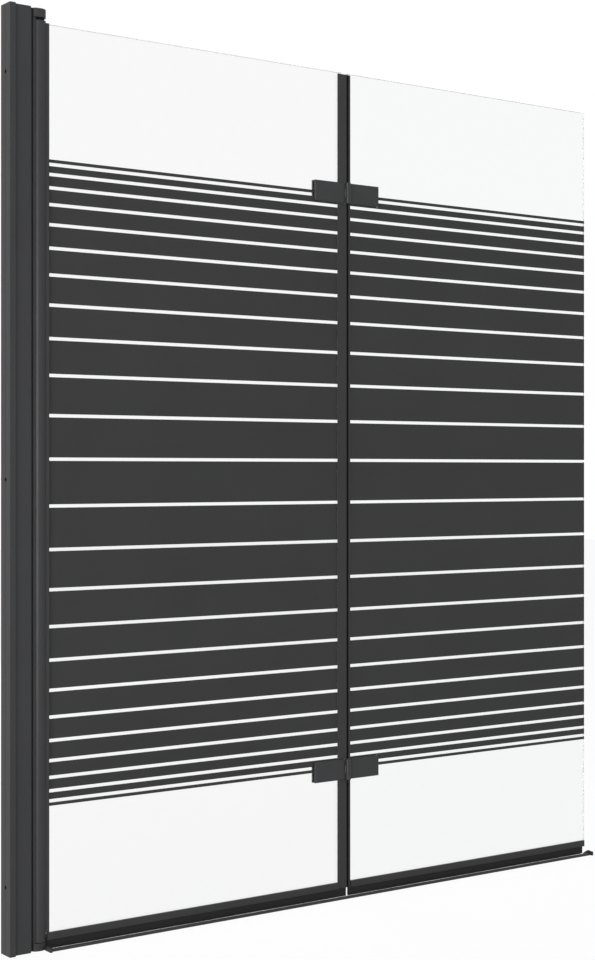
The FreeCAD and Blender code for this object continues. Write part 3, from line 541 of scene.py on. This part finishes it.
def add_lip(node, materials):
    """Double blade under a rail: its root fills the slot, and both blades hang and flare onto the rim.

    The end at the fold is cut on a slant.
    """
    low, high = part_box(node)
    rail_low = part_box(node.replace("lip", "rail"))[0].z
    side = high.y
    root_side = 2.9 * MM
    root_low = high.z - 1.2 * MM
    neck_side = 1.5 * MM
    shoulder = rail_low - 0.1 * MM
    blade_start = shoulder - 2.0 * MM
    blade_start_thickness = 1.4 * MM
    outer_bend = 3.4 * MM
    inner_bend = 3.6 * MM
    bend_thickness = 1.2 * MM
    flare = 3.4 * MM
    foot = 0.7 * MM
    tip_height = 0.5 * MM
    tip_slope = 0.2 * MM
    heel_rise = 1.0 * MM
    heel_inset = 0.4 * MM
    easing = 0.4 * MM
    ripple = 0.2 * MM
    ripple_length = 0.19
    straight_end = 6 * MM
    fold_reach = 1.2 * MM
    slant = math.tan(math.radians(36))
    slant_length = 30 * MM
    if node == "inner_lip":
        free_end, fold_end, slant_root = low.x, high.x + fold_reach, -side
    else:
        free_end, fold_end, slant_root = high.x, low.x - fold_reach, side
    stations = 60
    rings = []
    for station in range(stations + 1):
        x = free_end + (fold_end - free_end) * station / stations
        open_share = min(1, abs(x - free_end) / straight_end)
        slanted = slant * max(0, 1 - abs(x - fold_end) / slant_length)
        push = ripple * math.sin(2 * math.pi * x / ripple_length) / shoulder
        tip = side + flare * open_share
        outline = both_sides([
            (high.z, root_side),
            (root_low, root_side),
            (root_low, neck_side),
            (shoulder, neck_side),
            (shoulder, side),
            (outer_bend, side),
            (foot + tip_height, tip),
            (foot, tip - tip_slope),
            (foot + heel_rise * open_share, side - heel_inset),
            (inner_bend, side - bend_thickness),
            (blade_start, side - blade_start_thickness),
        ])
        rings.append([
            (x + slanted * (y - slant_root), y + push * max(0, shoulder - z), z)
            for z, y in rounded(outline, easing)
        ])
    bm = bmesh.new()
    skin(bm, rings)
    return stand_in(node, bm, materials), rail_low


def add_lips(materials):
    """Both lips under the rails; the outer lip gets a mesh of its own."""
    add_lip("inner_lip", materials)
    piece, rail_low = add_lip("outer_lip", materials)
    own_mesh(piece)


def add_glazing_gasket(materials):
    """U-shaped gasket whose two beads show beside the glass."""
    low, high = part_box("glazing_gasket")
    slip = 0.03 * MM
    glass_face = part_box("inner_glass")[1].y + slip
    glass_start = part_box("inner_glass")[0].x - slip
    side = high.y - slip
    bead = 0.5 * MM
    easing = 0.3 * MM
    outline = both_sides([
        (glass_start, -glass_face),
        (high.x - bead, -glass_face),
        (high.x, -glass_face - bead),
        (high.x - bead, -side),
        (low.x + slip, -side),
    ])
    bm = bmesh.new()
    upright_bar(bm, rounded(outline, easing), low.z, high.z)
    stand_in("glazing_gasket", bm, materials)


def add_barrel_seal(materials):
    """Wiper between post and barrel: a rounded head in the post and a slim blade with a soft tip."""
    low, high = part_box("barrel_seal")
    neck = 1.4 * MM
    head_end = low.x + 1.5 * MM
    tip_start = high.x - 1.0 * MM
    easing = 0.4 * MM
    outline = both_sides([
        (low.x, 0.6 * high.y),
        (low.x, high.y),
        (head_end, high.y),
        (head_end, neck),
        (tip_start, neck),
        (high.x, neck / 2),
    ])
    bm = bmesh.new()
    upright_bar(bm, rounded(outline, easing), low.z, high.z)
    stand_in("barrel_seal", bm, materials)


def add_tape(materials):
    """Foam tape whose sides draw in under the strip."""
    low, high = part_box("threshold_tape")
    drawn_in = 0.25 * MM
    easing = 0.15 * MM
    middle = (low.z + high.z) / 2
    outline = [
        (low.y, low.z),
        (low.y + drawn_in, middle),
        (low.y, high.z),
        (high.y, high.z),
        (high.y - drawn_in, middle),
        (high.y, low.z),
    ]
    bm = bmesh.new()
    skin(bm, [[(x, y, z) for y, z in rounded(outline, easing)] for x in (low.x, high.x)])
    stand_in("threshold_tape", bm, materials)


def add_bands(panel, materials):
    """The printed bands, sunk a hair into the glass so that they are seen bonded to it from behind too."""
    node = f"{panel}_bands"
    sunk = 0.02 * MM
    front, back = [corner.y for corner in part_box(node)]
    bm = bmesh.new()
    bm.from_mesh(nodes[node].data)
    for vertex in bm.verts:
        if vertex.co.y > (front + back) / 2:
            vertex.co.y = back + sunk
    stand_in(node, bm, materials)


def rectangle_ring(low_x, high_x, low_z, high_z, centre, angles, inset):
    """Points on a rectangle in X and Z, met by rays from a centre."""
    points = []
    for angle in angles:
        across, up = math.cos(angle), math.sin(angle)
        reach_x = (high_x - inset - centre[0]) if across > 0 else (centre[0] - low_x - inset)
        reach_z = (high_z - inset - centre[1]) if up > 0 else (centre[1] - low_z - inset)
        reach = min(reach_x / max(abs(across), TINY), reach_z / max(abs(up), TINY))
        points.append((centre[0] + reach * across, centre[1] + reach * up))
    return points


def add_hinge_pads(side_name, materials):
    """Thin cushions between plates and glass, with edges that bulge a little and a hole for the screw."""
    node = f"{side_name}_hinge_pads"
    node_low, node_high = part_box(node)
    glass_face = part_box("inner_glass")[1].y
    hole = 3.05 * MM
    bulge = 0.15 * MM
    screw_low, screw_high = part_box(f"{side_name}_hinge_screws")
    screw_x = (screw_low.x + screw_high.x) / 2
    bm = bmesh.new()
    for hinge in HINGES:
        plate_low, plate_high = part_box(f"{hinge}_{side_name}_back_plate")
        centre = (screw_x, (plate_low.z + plate_high.z) / 2)
        corners = [(x, z) for x in (node_low.x, node_high.x) for z in (plate_low.z, plate_high.z)]
        angles = circle_angles()
        angles += [math.atan2(z - centre[1], x - centre[0]) % (2 * math.pi) for x, z in corners]
        angles.sort()
        rim = [
            (centre[0] + hole * math.cos(angle), centre[1] + hole * math.sin(angle)) for angle in angles
        ]
        for near, far in ((-node_high.y, -glass_face), (glass_face, node_high.y)):
            rings = [[(x, near, z) for x, z in rim]]
            for y, inset in ((near, bulge), ((near + far) / 2, 0), (far, bulge)):
                edge = rectangle_ring(
                    node_low.x, node_high.x, plate_low.z, plate_high.z, centre, angles, inset
                )
                rings.append([(x, y, z) for x, z in edge])
            rings.append([(x, far, z) for x, z in rim])
            skin(bm, rings, joined=True)
    stand_in(node, bm, materials)


def hexagon(width):
    """The radius of a hexagon, by angle, from its width across the flats."""
    def radius(angle):
        return width / 2 / math.cos((angle + math.pi / 6) % (math.pi / 3) - math.pi / 6)
    return radius


def cross(length, width):
    """The radius of a cross, by angle, from the length and the width of its arms."""
    def radius(angle):
        first, second = sorted((abs(math.cos(angle)), abs(math.sin(angle))))
        return min(length / 2 / second, width / 2 / max(first, TINY))
    return radius


def circle(size):
    """The radius of a circle, by angle."""
    def radius(angle):
        return size
    return radius


def add_screws(node, low, high, profile, materials):
    """Two screws along Y, at the lower and the upper end of a node's box.

    Their profile gives a radius by angle at each place in Y.
    """
    head = (high.x - low.x) / 2
    x = (low.x + high.x) / 2
    turns = [(angle, math.cos(angle), math.sin(angle)) for angle in circle_angles()]
    bm = bmesh.new()
    for z in (low.z + head, high.z - head):
        rings = [
            [(x + radius(angle) * across, y, z + radius(angle) * up) for angle, across, up in turns]
            for radius, y in profile
        ]
        skin(bm, rings)
    stand_in(node, bm, materials)


def add_hinge_screws(side_name, materials):
    """Countersunk screws with a hexagon socket, from the bath side into the front plates."""
    node = f"{side_name}_hinge_screws"
    low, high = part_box(node)
    face = high.y
    head = (high.x - low.x) / 2
    head_easing = 0.3 * MM
    head_land = 0.25 * MM
    countersink = 2.2 * MM
    shank = 3.0 * MM
    point = 0.4 * MM
    socket = hexagon(4.0 * MM)
    socket_depth = 1.9 * MM
    socket_rim = 2.7 * MM
    socket_easing = 0.15 * MM
    profile = [
        (socket, face - socket_depth),
        (socket, face - socket_easing),
        (circle(socket_rim), face),
        (circle(head - head_easing), face),
        (circle(head), face - head_land),
        (circle(shank), face - countersink),
        (circle(shank), low.y + point),
        (circle(shank - point), low.y),
    ]
    add_screws(node, low, high, profile, materials)


def add_bracket_screws(materials):
    """Pan-head screws with a cross recess, on the bath side of the post."""
    low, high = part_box("bracket_screws")
    crown = high.y
    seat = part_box("hinge_post")[1].y
    head = (high.x - low.x) / 2
    crown_curve = [(0.8, 0.25 * MM), (0.95, 0.7 * MM), (1.0, 1.2 * MM)]
    shank = 1.6 * MM
    recess = cross(3.4 * MM, 0.9 * MM)
    recess_depth = 1.0 * MM
    recess_rim = 1.9 * MM
    recess_easing = 0.1 * MM
    profile = [
        (recess, crown - recess_depth),
        (recess, crown - recess_easing),
        (circle(recess_rim), crown),
        *[(circle(share * head), crown - drop) for share, drop in crown_curve],
        (circle(head), seat),
        (circle(shank), seat),
        (circle(shank), low.y),
    ]
    add_screws("bracket_screws", low, high, profile, materials)


add_studio()
materials = make_materials()
dress_nodes(materials)
add_edge_seals(materials)
add_lips(materials)
add_glazing_gasket(materials)
add_barrel_seal(materials)
add_tape(materials)
for panel in ("inner", "outer"):
    add_bands(panel, materials)
    add_hinge_pads(panel, materials)
    add_hinge_screws(panel, materials)
add_bracket_screws(materials)
